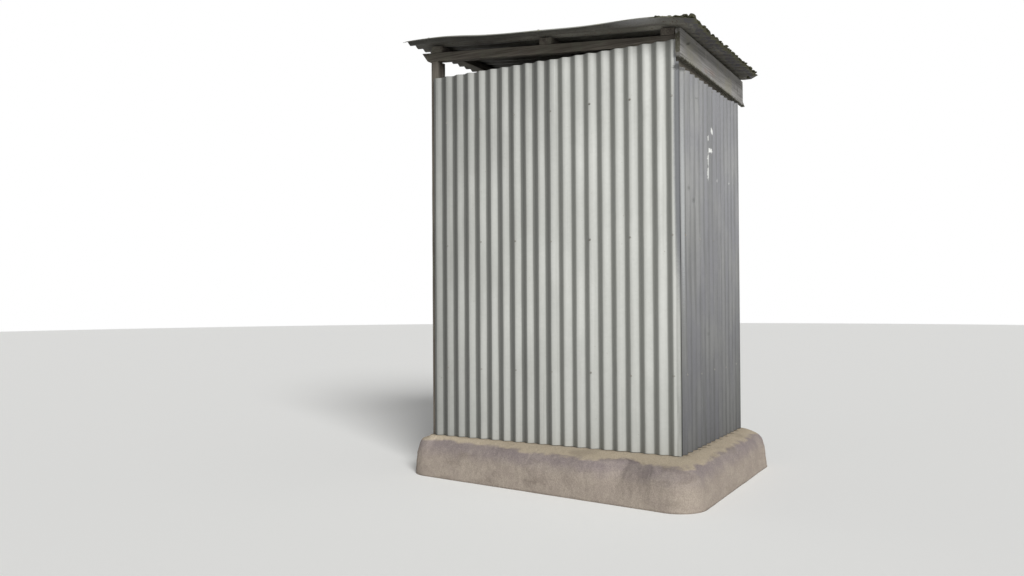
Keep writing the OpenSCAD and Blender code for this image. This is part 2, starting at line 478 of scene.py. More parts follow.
@dataclass(frozen=True)
class OldTimber(Finish):
    """Rough sawn timber that has greyed outdoors: raised grain, drying checks and a film of age."""

    # Weathered grey tones, darkened further as painted shade
    light: str = "#767067"
    dark: str = "#46413b"
    check: str = "#221d18"
    patina: str = "#66685b"
    patina_share: float = 0.35
    patina_patches: Cloud = Cloud((130, 130, 130), 0.48, 0.66, shift=6.5, detail=5)
    grain: Grain = Grain.Z
    # Real fibres are 1 to 2 mm wide: these are as coarse as they need to be to show
    grain_mm: float = 7.0
    roughness: float = 0.86
    marks: tuple[Marks, ...] = ()

    def paint(self, tree: Tree, place: Socket) -> Coat:
        """Adds the fibres, the broader bands, the drying checks and the film of age.

        Args:
            tree: The material's tree.
            place: Object coordinates.

        Returns:
            The shader's constant values, and the sockets that its other inputs are joined to.
        """
        fine = stretched(self.grain, self.grain_mm, self.grain_mm * 45)
        broad = stretched(self.grain, self.grain_mm * 5, self.grain_mm * 60)
        split = stretched(self.grain, self.grain_mm * 0.9, self.grain_mm * 70)
        fibres = self.mask(tree, place, Cloud(fine, 0.32, 0.68, detail=6, rough=0.65))
        bands = self.mask(tree, place, Cloud(broad, 0.35, 0.65, shift=4.4))
        checks = self.mask(tree, place, Cloud(split, 0.66, 0.72, shift=9.1, detail=3))
        film = self.mask(tree, place, self.patina_patches)
        banded = add_node(tree, "Math", TIMES, {1: 0.4}, {0: bands})
        tone = add_node(tree, "Math", TIMES_PLUS, {1: 0.6}, {0: fibres, 2: banded})
        tones = {UNDER: linear(self.dark), OVER: linear(self.light)}
        wood = add_node(tree, "Mix", BLEND, tones, {SHARE: tone}, MIXED)
        layers = [(film, self.patina_share, self.patina), (checks, 1.0, self.check)]
        colour = self.marked(tree, place, self.layered(tree, wood, layers), self.marks)
        relief = add_node(tree, "Math", {"operation": "SUBTRACT"}, links={0: fibres, 1: checks})
        depth = {"Strength": 0.7, "Distance": 1.5 * MM}
        bump = add_node(tree, "Bump", values=depth, links={"Height": relief})
        constants = {"Roughness": self.roughness, "Specular IOR Level": 0.2}
        return constants, {"Base Color": colour, "Normal": bump}


@dataclass(frozen=True)
class RoughConcrete(Finish):
    """Hand-laid concrete: tan and dusty on top, with painted light on it, pinkish grey on its sides, with
    sand, grit and damp.
    """

    top: str = "#ada08c"
    side: str = "#857b79"
    foot: str = "#958a80"
    dark: str = "#6b6157"
    pale: str = "#c0b6a4"
    dust_and_light_from_z: float = 0.196
    dust_and_light_full_z: float = 0.210
    foot_from_z: float = 0.188
    foot_full_z: float = 0.098
    edge_wander: float = 0.012
    cloud_share: float = 0.15
    damp_share: float = 0.35
    rubble_mm: float = 22.0
    edge_waves: Cloud = Cloud((80, 80, 50), 0.3, 0.7, shift=1.1, detail=2)
    pale_patches: Cloud = Cloud((120, 120, 70), 0.4, 0.66, shift=2.9, detail=7, rough=0.62)
    # Real sand is about 1 mm: this is as coarse as it needs to be to show
    sand_grains: Cloud = Cloud((5, 5, 5), 0.35, 0.65, shift=5.5, detail=3)
    grit_grains: Cloud = Cloud((9, 9, 9), 0.6, 0.68, shift=3.7, detail=2)
    damp_patches: Cloud = Cloud((240, 240, 70), 0.56, 0.72, shift=8.1, detail=6)
    marks: tuple[Marks, ...] = ()

    def paint(self, tree: Tree, place: Socket) -> Coat:
        """Adds the dusty top, the sides, the damp and the sand.

        Args:
            tree: The material's tree.
            place: Object coordinates.

        Returns:
            The shader's constant values, and the sockets that its other inputs are joined to.
        """
        height = add_node(tree, "SeparateXYZ", links={"Vector": place}, out="Z")
        wave = self.mask(tree, place, self.edge_waves)
        lift = add_node(tree, "Math", TIMES_PLUS, {1: self.edge_wander}, {0: wave, 2: height})
        # The top's colour is dust and painted light
        top_span = {"From Min": self.dust_and_light_from_z, "From Max": self.dust_and_light_full_z}
        dust_and_light = add_node(tree, "MapRange", SMOOTH, top_span, {"Value": lift})
        foot = {"From Min": self.foot_from_z, "From Max": self.foot_full_z}
        low_down = add_node(tree, "MapRange", SMOOTH, foot, {"Value": lift})
        sides = {UNDER: linear(self.side), OVER: linear(self.foot)}
        face = add_node(tree, "Mix", BLEND, sides, {SHARE: low_down}, MIXED)
        layers = [
            (dust_and_light, 1.0, self.top),
            (self.mask(tree, place, self.pale_patches), self.cloud_share, self.pale),
            (self.mask(tree, place, self.grit_grains), self.cloud_share, self.pale),
            (self.mask(tree, place, self.damp_patches), self.damp_share, self.dark),
        ]
        colour = self.marked(tree, place, self.layered(tree, face, layers), self.marks)
        sand = self.mask(tree, place, self.sand_grains)
        grains = add_node(tree, "MapRange", values={"To Min": 0.84, "To Max": 1.08}, links={"Value": sand})
        speckled = add_node(tree, "Mix", DARKEN, {SHARE: 1.0}, {UNDER: colour, OVER: grains}, MIXED)
        stones = {"Scale": per_metre(self.rubble_mm), "Detail": 8.0, "Roughness": 0.62}
        rubble = add_node(tree, "TexNoise", values=stones, links={"Vector": place}, out="Fac")
        bump = add_node(tree, "Bump", values={"Strength": 0.9, "Distance": 6 * MM}, links={"Height": rubble})
        constants = {"Roughness": 0.92, "Specular IOR Level": 0.2}
        return constants, {"Base Color": speckled, "Normal": bump}


@dataclass(frozen=True)
class RustyIron(Finish):
    """Plain forged iron that has browned: a dark skin with orange rust in patches."""

    skin: str = "#3b3532"
    rust: str = "#6a4a39"
    patches: Cloud = Cloud((18, 18, 18), 0.45, 0.65, detail=6, rough=0.65)

    def paint(self, tree: Tree, place: Socket) -> Coat:
        """Adds the skin and the rust, which stands a little proud.

        Args:
            tree: The material's tree.
            place: Object coordinates.

        Returns:
            The shader's constant values, and the sockets that its other inputs are joined to.
        """
        patch = self.mask(tree, place, self.patches)
        browns = {UNDER: linear(self.skin), OVER: linear(self.rust)}
        colour = add_node(tree, "Mix", BLEND, browns, {SHARE: patch}, MIXED)
        bump = add_node(tree, "Bump", values={"Strength": 0.5, "Distance": 0.6 * MM}, links={"Height": patch})
        return {"Metallic": 0.35, "Roughness": 0.68}, {"Base Color": colour, "Normal": bump}


@dataclass(frozen=True)
class Moss(Finish):
    """Cushions of moss: deep olive with yellow-green tips, quite matt."""

    deep: str = "#2d2d22"
    tip: str = "#504f3d"
    tufts: Cloud = Cloud((11, 11, 11), 0.38, 0.62, detail=5)

    def paint(self, tree: Tree, place: Socket) -> Coat:
        """Adds the tufts.

        Args:
            tree: The material's tree.
            place: Object coordinates.

        Returns:
            The shader's constant values, and the sockets that its other inputs are joined to.
        """
        tips = self.mask(tree, place, self.tufts)
        greens = {UNDER: linear(self.deep), OVER: linear(self.tip)}
        colour = add_node(tree, "Mix", BLEND, greens, {SHARE: tips}, MIXED)
        bump = add_node(tree, "Bump", values={"Strength": 0.8, "Distance": 2 * MM}, links={"Height": tips})
        return {"Roughness": 0.95, "Specular IOR Level": 0.1}, {"Base Color": colour, "Normal": bump}


@dataclass(frozen=True)
class PaleFloor(Finish):
    """Plain pale studio floor, matt."""

    colour: str = "#f4f4f2"

    def paint(self, tree: Tree, place: Socket) -> Coat:
        """Gives the floor its one colour.

        Args:
            tree: The material's tree.
            place: Object coordinates, which it has no use for.

        Returns:
            The shader's constant values, and no links.
        """
        return {"Base Color": linear(self.colour), "Roughness": 0.9, "Specular IOR Level": 0.1}, {}


# Streaks of old paint on the back wall, in no shape that says anything
PALE_SCUFFS = Marks(
    "#dcddd9",
    (
        Spot((0.0040, 0.779, 1.9480), (12, 90, 30), (0, 12, 0)),
        Spot((0.0300, 0.779, 1.8440), (46, 90, 17), (0, -14, 0)),
        Spot((0.0731, 0.779, 1.9000), (16, 90, 27)),
        Spot((0.0722, 0.779, 1.7752), (20, 90, 62), (0, 6, 0)),
        Spot((0.0728, 0.779, 1.7140), (23, 90, 60), (0, -5, 0)),
    ),
    share=0.92,
    soft=0.36,
    broken_mm=9,
    broken=0.32,
)
FAINT_SCUFFS = Marks(
    "#d6d7d3",
    (
        Spot((-0.0957, 0.779, 1.6842), (30, 90, 17)),
        Spot((-0.3304, 0.779, 1.6998), (34, 90, 15)),
    ),
    share=0.75,
    soft=0.45,
    broken_mm=9,
    broken=0.2,
)

# Darker blotches on the back wall, where it is dented or a nail has bled
DARK_BLOTCHES = Marks(
    "#565856",
    (
        Spot((0.3767, 0.779, 1.6733), (30, 90, 18)),
        Spot((0.2243, 0.779, 1.6844), (30, 90, 15)),
        Spot((0.4034, 0.779, 1.5894), (18, 90, 24)),
        Spot((0.3225, 0.779, 1.5349), (26, 90, 22)),
        Spot((0.2897, 0.779, 2.1022), (22, 90, 11)),
        Spot((0.2559, 0.779, 2.0877), (20, 90, 10)),
        Spot((-0.0947, 0.779, 1.6640), (26, 90, 9)),
        Spot((0.0900, 0.779, 0.8200), (20, 90, 18)),
        Spot((0.4300, 0.779, 0.6600), (22, 90, 26)),
    ),
    share=0.55,
    soft=0.7,
)

# First corrugation of the back wall, with a painted highlight on its upper part
CORNER_HIGHLIGHT = Marks(
    "#a9abab", (Spot((0.492, 0.775, 1.56), (18, 90, 860)),), share=0.8, soft=0.8, broken=0.15
)

# Painted shadow of the eaves on the corner, right under the board
EAVES_SHADOW = Marks(
    "#3d3d3a",
    (Spot((0.552, 0.765, 2.19), (120, 40, 26)), Spot((0.500, 0.779, 2.19), (70, 90, 16))),
    share=0.7,
    soft=0.6,
    broken=0.3,
)

# Last corrugation of the side wall, beaten flat round the post, with painted shade on the flat strip
FLAT_STRIP_SHADE = Marks(
    "#696b70", (Spot((0.552, 0.770, 1.80), (90, 36, 960)),), share=0.82, soft=0.5, broken=0.06
)

# Dents, nail holes and lichen on the fascia board
BOARD_CRACKS = Marks(
    "#3a372f",
    (
        Spot((-0.5001, 0.787, 2.2881), (9, 90, 46)),
        Spot((-0.5600, 0.787, 2.2600), (7, 90, 40)),
        Spot((-0.4300, 0.787, 2.2950), (6, 90, 34)),
        Spot((-0.6361, 0.787, 2.2226), (16, 90, 9)),
        Spot((0.2969, 0.787, 2.3658), (12, 90, 6)),
        Spot((-0.3051, 0.787, 2.3244), (14, 90, 6)),
        Spot((0.4392, 0.787, 2.3300), (60, 90, 12), (0, 20, 0)),
    ),
    share=0.7,
    soft=0.7,
    broken=0.3,
)
BOARD_RED = Marks(
    "#8d7468",
    (Spot((0.0249, 0.787, 2.2732), (110, 90, 34)), Spot((0.1355, 0.787, 2.2600), (60, 90, 30))),
    share=0.4,
    soft=0.8,
)
BOARD_PALE = Marks(
    "#b5b2a6",
    (Spot((0.0389, 0.787, 2.2421), (9, 90, 14)), Spot((0.1331, 0.787, 2.3474), (10, 90, 44))),
    share=0.6,
    soft=0.7,
    broken=0.3,
)
BOARD_MOSS = Marks(
    "#3f3d2c",
    (
        Spot((0.0, 0.775, 2.2260), (1500, 90, 18), (0, -0.9, 0)),
        Spot((0.571, 0.775, 2.30), (14, 90, 140)),
    ),
    share=0.85,
    soft=0.55,
    broken_mm=16,
    broken=0.45,
)

# Painted shade on the slab in the recesses under the valleys at the foot of the back sheets
SHEET_FOOT_SHADE = Marks(
    "#3f372c",
    tuple(
        Spot((x, 0.782, 0.218), (20, 28, 24))
        for x in (0.496, 0.301, 0.220, 0.147, 0.029, -0.081, -0.195, -0.314, -0.421)
    ),
    share=0.75,
    soft=0.6,
    broken_mm=14,
    broken=0.5,
)

# Moss that creeps round the roof's lower end to its underside
EDGE_MOSS = Marks(
    "#6c6b54",
    (Spot((0.0, 0.915, 2.39), (2600, 72, 400)),),
    share=0.9,
    soft=0.45,
    broken_mm=13,
    broken=0.3,
)

# Painted light on the near part of the roof's underside, where its outer slope catches the light
EAVES_HIGHLIGHT = Marks(
    "#cfcfd2", (Spot((0.650, 0.58, 2.42), (75, 260, 200)),), share=0.45, soft=0.9, broken=0.1
)

# Lichen and dirt on the last hand's breadth of the roof's underside
BACK_EAVES = Marks(
    "#5c5b60",
    (Spot((0.0, 0.915, 2.39), (2600, 170, 400)),),
    share=0.9,
    soft=0.55,
    broken_mm=22,
    broken=0.45,
)


@dataclass(frozen=True)
class Finishes:
    """All finishes of the object, each with one material."""

    # Painted shade: the stripes, and darkening towards the door end and under the eaves; also darker towards
    # the foot
    side_iron_front: Finish = GalvanisedIron(
        "side_wall_zinc_front_half",
        light="#b9bab5",
        dull="#b0b1ac",
        stripes=Stripes("#676864", middle=0.20, start=-0.50, full=0.12),
        shades=(
            Shade(Grain.Y, -0.76, 0.50, 0.84),
            Shade(Grain.Y, -0.77, -0.40, 0.72),
            Shade(Grain.Z, 0.22, 0.90, 0.86),
            Shade(Grain.Z, 2.20, 1.65, 0.80),
        ),
    )
    # Painted shade: the stripes, the flat strip, the eaves' shadow, and darkening towards the door end and
    # the top; also darker towards the foot
    side_iron_back: Finish = GalvanisedIron(
        "side_wall_zinc_back_half",
        light="#bcbdb8",
        dull="#b4b5b0",
        stripes=Stripes("#797a75", middle=0.235, start=-0.26, full=0.50),
        shades=(
            Shade(Grain.Y, -0.76, 0.50, 0.80),
            Shade(Grain.Z, 0.22, 0.90, 0.85),
            Shade(Grain.Z, 2.30, 1.70, 0.92),
        ),
        marks=(FLAT_STRIP_SHADE, EAVES_SHADOW),
    )
    # Painted shade: zinc darker than the side walls' and the stripes, with a painted highlight and the eaves'
    # shadow at the corner; darker towards the foot
    back_iron: Finish = GalvanisedIron(
        "back_wall_zinc",
        light="#919190",
        dull="#868689",
        stain="#71726e",
        run_mm=34,
        run_share=0.55,
        specular=0.2,
        stripes=Stripes("#6c6d6c", middle=0.48, start=0.40, full=0.95, share=0.5, wander=0.7),
        shades=(Shade(Grain.Z, 0.20, 1.65, 0.45),),
        marks=(DARK_BLOTCHES, CORNER_HIGHLIGHT, EAVES_SHADOW, FAINT_SCUFFS, PALE_SCUFFS),
    )
    # Painted shade in the stripes; darker towards the foot
    door_iron: Finish = GalvanisedIron(
        "door_zinc",
        stripes=Stripes("#7f807b", middle=0.20, start=-0.3, full=0.3, share=0.5),
        shades=(Shade(Grain.Z, 0.22, 1.20, 0.86),),
    )
    roof_top: Finish = MossyIron("roof_top_mossy_zinc")
    # Painted shade: darker on the outer strip at the right edge and towards the front, with painted light on
    # the near part
    roof_under: Finish = GalvanisedIron(
        "roof_underside_zinc",
        light="#8b8980",
        dull="#706e66",
        stain="#524c4c",
        rust="#5d4a3a",
        run=Grain.Y,
        run_share=0.6,
        rust_low=0.62,
        metallic=0.0,
        specular=0.15,
        shades=(Shade(Grain.X, 0.61, 0.56, 0.55), Shade(Grain.Y, -0.35, 0.75, 0.45)),
        marks=(EAVES_HIGHLIGHT, BACK_EAVES, EDGE_MOSS),
    )
    timber_x: OldTimber = OldTimber("sawn_timber_across", grain=Grain.X)
    timber_y: OldTimber = OldTimber("sawn_timber_along", grain=Grain.Y)
    timber_z: OldTimber = OldTimber("sawn_timber_upright", grain=Grain.Z)
    board: OldTimber = OldTimber(
        "fascia_grey_board",
        light="#9b9996",
        dark="#6e6c6a",
        patina="#898679",
        patina_share=0.6,
        grain=Grain.X,
        marks=(BOARD_CRACKS, BOARD_RED, BOARD_PALE, BOARD_MOSS),
    )
    concrete: Finish = RoughConcrete("hand_laid_concrete", marks=(SHEET_FOOT_SHADE,))
    fitting: Finish = RustyIron("browned_iron")
    nail: Finish = GalvanisedIron(
        "nail_head_zinc", light="#93928c", dull="#7d7c76", stain="#6b6358", rust_low=0.62, metallic=0.2
    )
    moss: Finish = Moss("moss_cushion")


def finished(bm: bmesh.types.BMesh, name: str, finishes: Sequence[Finish]) -> bpy.types.Object:
    """Turns a bmesh into an object of the scene that rides on the hut.

    Args:
        bm: The finished bmesh, which is freed.
        name: The piece's name.
        finishes: Its finishes, in the order of the faces' material numbers.

    Returns:
        The new object, at the origin.
    """
    mesh = bpy.data.meshes.new(name)
    bm.to_mesh(mesh)
    bm.free()
    for finish in finishes:
        mesh.materials.append(finish.material)
    piece = bpy.data.objects.new(name, mesh)
    bpy.context.scene.collection.objects.link(piece)
    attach(piece, BODY)
    LOG.info("%s: %d faces", name, len(mesh.polygons))
    return piece


AXES = (Vector((1, 0, 0)), Vector((0, 1, 0)), Vector((0, 0, 1)))
X_AXIS, Y_AXIS, Z_AXIS = AXES


@dataclass
class Dent:
    """A knock in a sheet: its place in corrugations and metres, its depth and its half sizes in metres."""

    u: float
    t: float
    depth: float
    wide: float
    tall: float


@dataclass
class Plane:
    """Where a run of sheets lies: the corner that it is counted from, and its three directions."""

    origin: Vector
    across: Vector
    out: Vector
    along: Vector

    def point(self, across: float, out: float, along: float) -> Vector:
        """Point at these distances across, outwards and along the corrugations."""
        return self.origin + self.across * across + self.out * out + self.along * along

    def flips(self) -> bool:
        """True if across, along and out don't make a right-handed set."""
        return self.across.cross(self.along).dot(self.out) < 0


@dataclass
class Profile:
    """The rolled profile that every sheet has."""

    pitch: float = 76.2 * MM
    depth: float = 16.2 * MM
    thickness: float = 0.8 * MM
    per_pitch: int = 16
    slice_length: float = 42 * MM

    def wave(self, u: float) -> float:
        """Height over the middle plane, u corrugations from a valley."""
        return -math.cos(2 * math.pi * u) * self.depth / 2

    def crest(self, u: float) -> float:
        """0 in a valley and 1 on a crest."""
        return 0.5 - 0.5 * math.cos(2 * math.pi * u)


Relief = Callable[[float, float], float]
Knots = tuple[tuple[float, float], ...]


def between(knots: Knots, x: float) -> float:
    """Reads a value off straight lines between knots.

    Args:
        knots: Places and values, in rising order of place.
        x: The place to read at.

    Returns:
        The value, which stays level beyond the first and the last knot.
    """
    for (x0, y0), (x1, y1) in zip(knots, knots[1:]):
        if x < x1:
            return y0 + (y1 - y0) * max(0.0, x - x0) / (x1 - x0)
    return knots[-1][1]


@dataclass
class CutOut:
    """Corner cut off a sheet: above this height along it and beyond this place on an axis."""

    along: float
    axis: Grain
    beyond: float


@dataclass
class SheetRun:
    """One wall's or roof's run of sheets, which share a plane, a profile, their length and their knocks."""

    plane: Plane
    profile: Profile
    relief: Relief
    length: float
    slot: str
    drift: Knots = ((0.0, 0.0), (1.0, 0.0))
    ragged: float = 3 * MM
    ragged_reach: float = 50 * MM
    longer: Knots = ((0.0, 0.0), (1.0, 0.0))

    def across(self, u: float) -> float:
        """Distance across of the corrugation count u, with the run's uneven spacing."""
        return u * self.profile.pitch + between(self.drift, u)

    def ends(self, node: str) -> tuple[float, float]:
        """First and last edge of a CAD sheet, counted in corrugations."""
        places = [(corner - self.plane.origin).dot(self.plane.across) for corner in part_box(node)]
        return min(places) / self.profile.pitch, max(places) / self.profile.pitch

    def sheet(
        self, name: str, node: str, step: float, finishes: Sequence[Finish], cut_out: CutOut | None = None
    ) -> bpy.types.Object:
        """Builds one sheet in place of its CAD node.

        Args:
            name: The piece's name.
            node: The CAD node that it stands for.
            step: How far it lies outside the run's plane, where it laps over its neighbour.
            finishes: Its outer and inner finish.
            cut_out: The corner that is cut off it, if any.

        Returns:
            The sheet.
        """
        u0, u1 = self.ends(node)
        length = self.length
        bm = bmesh.new()
        count = bm.verts.layers.float.new(CORRUGATION)
        bmesh.ops.create_grid(
            bm,
            x_segments=round((u1 - u0) * self.profile.per_pitch),
            y_segments=round(length / self.profile.slice_length),
            size=0.5,
        )
        for vert in bm.verts:
            u = u0 + (vert.co.x + 0.5) * (u1 - u0)
            t = (vert.co.y + 0.5) * length
            low = max(0.0, 1 - t / self.ragged_reach)
            foot = low * self.ragged * (0.5 + 0.5 * noise.noise((u * 1.3, 4.0, step * 900)))
            high = max(0.0, 1 - (length - t) / self.ragged_reach)
            head = high * self.ragged * (noise.noise((u * 1.1, 9.0, step * 900)) - 0.4)
            head += high * between(self.longer, u)
            out = self.profile.wave(u) + self.relief(u, t) + step
            vert.co = self.plane.point(self.across(u), out, t + foot + head)
            vert[count] = u
        if cut_out is not None:
            self.cut_corner(bm, cut_out)
        if self.plane.flips():
            bmesh.ops.reverse_faces(bm, faces=bm.faces)
        for face in bm.faces:
            face.smooth = True
        for edge in bm.edges:
            edge.smooth = not edge.is_boundary
        piece = finished(bm, name, finishes)
        wall = piece.modifiers.new("sheet_thickness", "SOLIDIFY")
        wall.thickness = self.profile.thickness
        wall.offset = 0.0
        wall.material_offset = len(finishes) - 1
        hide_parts(node)
        return piece

    def cut_corner(self, bm: bmesh.types.BMesh, cut_out: CutOut) -> None:
        """Cuts the corner off a sheet.

        Args:
            bm: The sheet, still without its thickness.
            cut_out: The corner.
        """
        side = AXES[cut_out.axis.value]
        foot = self.plane.point(0, 0, cut_out.along)
        for spot, normal in ((foot, self.plane.along), (side * cut_out.beyond, side)):
            geometry = list(bm.verts) + list(bm.edges) + list(bm.faces)
            bmesh.ops.bisect_plane(bm, geom=geometry, dist=0.01 * MM, plane_co=spot, plane_no=normal)
        waste = [
            face
            for face in bm.faces
            if (face.calc_center_median() - foot).dot(self.plane.along) > 0
            and face.calc_center_median()[cut_out.axis.value] > cut_out.beyond
        ]
        bmesh.ops.delete(bm, geom=waste, context="FACES")


def bump_of(distance: float, size: float) -> float:
    """Smooth hump that is 1 at distance 0 and fades over size."""
    return math.exp(-((distance / size) ** 2))


@dataclass
class Nails:
    """Nail heads of one wall or roof, as one joined mesh."""

    radius: float = 6.5 * MM
    height: float = 3.0 * MM
    segments: int = 10
    rings: int = 6

    def heads(self, name: str, run: SheetRun, places: Sequence[Triple], finish: Finish) -> bpy.types.Object:
        """Builds the heads.

        Args:
            name: The piece's name.
            run: The run of sheets that they hold down.
            places: Distance across, out and along of each head.
            finish: Their finish.

        Returns:
            The joined mesh.
        """
        bm = bmesh.new()
        turn = run.plane.out.to_track_quat("Z", "Y").to_matrix().to_4x4()
        shape = {"u_segments": self.segments, "v_segments": self.rings, "radius": self.radius}
        for place in places:
            spot = Matrix.Translation(run.plane.point(*place)) @ turn
            verts = bmesh.ops.create_uvsphere(bm, **shape)["verts"]
            bmesh.ops.scale(bm, verts=verts, vec=(1, 1, self.height / self.radius))
            bmesh.ops.transform(bm, matrix=spot, verts=verts)
        for face in bm.faces:
            face.smooth = True
        piece = finished(bm, name, [finish])
        return piece


@dataclass
class WallCladding:
    """The upright sheets of the two sides, the back and the door, with their nails and knocks."""

    finishes: Finishes
    profile: Profile = field(default_factory=Profile)
    nails: Nails = field(default_factory=Nails)
    lap_step: float = 1.0 * MM
    rail_rows: tuple[float, ...] = (0.40, 1.12, 1.83)
    back_rows: tuple[float, ...] = (0.40, 1.12, 1.955)
    side_first: float = 0.25
    side_crests: int = 20
    back_first: float = 0.55
    back_crests: int = 14
    door_row_inset: float = 40 * MM
    side_drift: Knots = ((10.5, 0.0), (19.5, 7.6 * MM), (20.09, 0.0))
    back_drift: Knots = (
        (0.55, -3.5 * MM),
        (1.5, 0.0),
        (9.0, 19.5 * MM),
        (14.2, 1.4 * MM),
        (14.6, 7.5 * MM),
    )
    back_longer: Knots = ((12.4, 0.0), (13.8, 13 * MM))
    notch_height: float = 1.996
    notch_clearance: float = 2 * MM
    first_nail: float = 1.5
    nail_every: int = 3
    door_nail_every: int = 2
    nail_slip: float = 0.04
    nail_drop: float = 8 * MM
    nail_dimple: float = 1.8 * MM
    dimple_size: float = 16 * MM
    slack: float = 1.6 * MM
    ripple: float = 0.9 * MM
    flat_corner: float = 19.62
    flat_blend: float = 0.14
    flat_out: float = 5.5 * MM
    tuck_to: float = 0.95
    tuck: float = 2.6 * MM
    side_dents: tuple[Dent, ...] = (
        Dent(14.63, 1.894, 3.5 * MM, 0.018, 0.022),
        Dent(15.06, 1.838, 3.5 * MM, 0.018, 0.026),
        Dent(11.12, 1.852, 3.0 * MM, 0.018, 0.022),
        Dent(18.50, 1.772, 4.0 * MM, 0.018, 0.026),
        Dent(17.43, 1.726, 4.0 * MM, 0.020, 0.030),
        Dent(18.54, 1.601, 2.5 * MM, 0.018, 0.026),
        Dent(14.59, 2.102, 3.0 * MM, 0.018, 0.020),
        Dent(19.07, 1.360, 3.0 * MM, 0.018, 0.040),
        Dent(14.87, 1.146, 4.0 * MM, 0.020, 0.026),
        Dent(12.97, 1.108, 3.5 * MM, 0.020, 0.022),
        Dent(13.28, 1.100, 3.0 * MM, 0.016, 0.020),
        Dent(18.52, 1.108, 3.5 * MM, 0.018, 0.040),
        Dent(15.06, 0.951, 3.0 * MM, 0.018, 0.024),
        Dent(16.47, 1.225, 3.0 * MM, 0.018, 0.034),
        Dent(15.43, 1.220, 2.5 * MM, 0.018, 0.024),
        Dent(10.73, 0.408, 4.0 * MM, 0.018, 0.024),
        Dent(12.06, 0.421, 3.5 * MM, 0.018, 0.024),
        Dent(15.16, 0.421, 4.0 * MM, 0.020, 0.030),
        Dent(17.10, 0.409, 4.5 * MM, 0.018, 0.030),
        Dent(16.68, 0.324, 4.0 * MM, 0.018, 0.036),
        Dent(18.61, 0.464, 3.5 * MM, 0.016, 0.030),
        Dent(17.57, 0.330, 3.0 * MM, 0.016, 0.026),
        Dent(19.70, 0.255, 5.0 * MM, 0.012, 0.016),
        Dent(19.82, 0.170, 4.5 * MM, 0.010, 0.012),
        Dent(19.80, 0.130, 4.5 * MM, 0.010, 0.012),
    )
    back_dents: tuple[Dent, ...] = (
        Dent(3.90, 1.88, 4 * MM, 0.03, 0.02),
        Dent(4.35, 1.86, 4 * MM, 0.03, 0.02),
        Dent(2.75, 1.45, 4 * MM, 0.03, 0.03),
        Dent(4.75, 1.46, 4 * MM, 0.03, 0.03),
        Dent(2.40, 1.37, 3 * MM, 0.02, 0.03),
        Dent(3.45, 1.31, 4 * MM, 0.03, 0.03),
    )

    def relief(
        self,
        rows: Sequence[float],
        every: int,
        dents: Sequence[Dent],
        seed: float,
        flat_from: float = math.inf,
        tuck_to: float = -math.inf,
    ) -> Relief:
        """Makes the function that bends a wall's sheets out of true.

        Args:
            rows: Heights of the nail rows.
            every: Number of corrugations from one nail to the next.
            dents: The wall's knocks.
            seed: Where the wall's noise starts.
            flat_from: Number of corrugations from which the last slope is beaten flat at the corner.
            tuck_to: Number of corrugations up to which the first edge is tucked in at the corner.

        Returns:
            Outward shift in metres at u corrugations and height t.
        """
        profile = self.profile

        def shift(u: float, t: float) -> float:
            crest = profile.crest(u)
            out = crest * self.slack * noise.noise((u * 0.31 + seed, t * 1.1, 0.0))
            out += self.ripple * noise.noise((u * 0.9, t * 2.6 + seed, 5.0)) * crest
            near = round((u - self.first_nail) / every) * every + self.first_nail
            if abs(u - near) < 0.5:
                for row in rows:
                    reach = math.hypot((u - near) * profile.pitch, t - row)
                    out -= self.nail_dimple * bump_of(reach, self.dimple_size)
            if u > flat_from:
                share = min(1.0, (u - flat_from) / self.flat_blend)
                beaten = self.flat_out + self.slack * noise.noise((2.0, t * 3.1, seed))
                out = out * (1 - share) + share * (beaten - profile.wave(u))
                crest = 1.0
            if u < tuck_to:
                out -= self.tuck * (tuck_to - u) / (tuck_to - self.back_first)
            for dent in dents:
                away = math.hypot((u - dent.u) * profile.pitch / dent.wide, (t - dent.t) / dent.tall)
                out -= dent.depth * bump_of(away, 1.0) * (0.35 + 0.65 * crest)
            return out

        return shift

    def nail_places(
        self, run: SheetRun, rows: Sequence[float], count: int, every: int, seed: int
    ) -> list[Triple]:
        """Lists a wall's nail heads, on every few crests of each row.

        Args:
            run: The wall's run of sheets, which the heads follow.
            rows: Heights of the nail rows.
            count: Number of crests.
            every: Number of crests from one nail to the next.
            seed: Seed of the small errors of place.

        Returns:
            Distance across, out and along of each head.
        """
        draw = random.Random(seed)
        places = []
        for row in rows:
            for k in range(1, count, every):
                u = k + 0.5 + draw.uniform(-self.nail_slip, self.nail_slip)
                t = row + draw.uniform(-self.nail_drop, self.nail_drop)
                out = self.profile.wave(u) + run.relief(u, t) + self.lap_step
                places.append((run.across(u), out, t))
        return places

    def build(self) -> None:
        """Builds every wall's sheets and nails."""
        for side, sign in ((Side.RIGHT, 1.0), (Side.LEFT, -1.0)):
            self.build_side(side, sign)
        self.build_back()
        self.build_door()

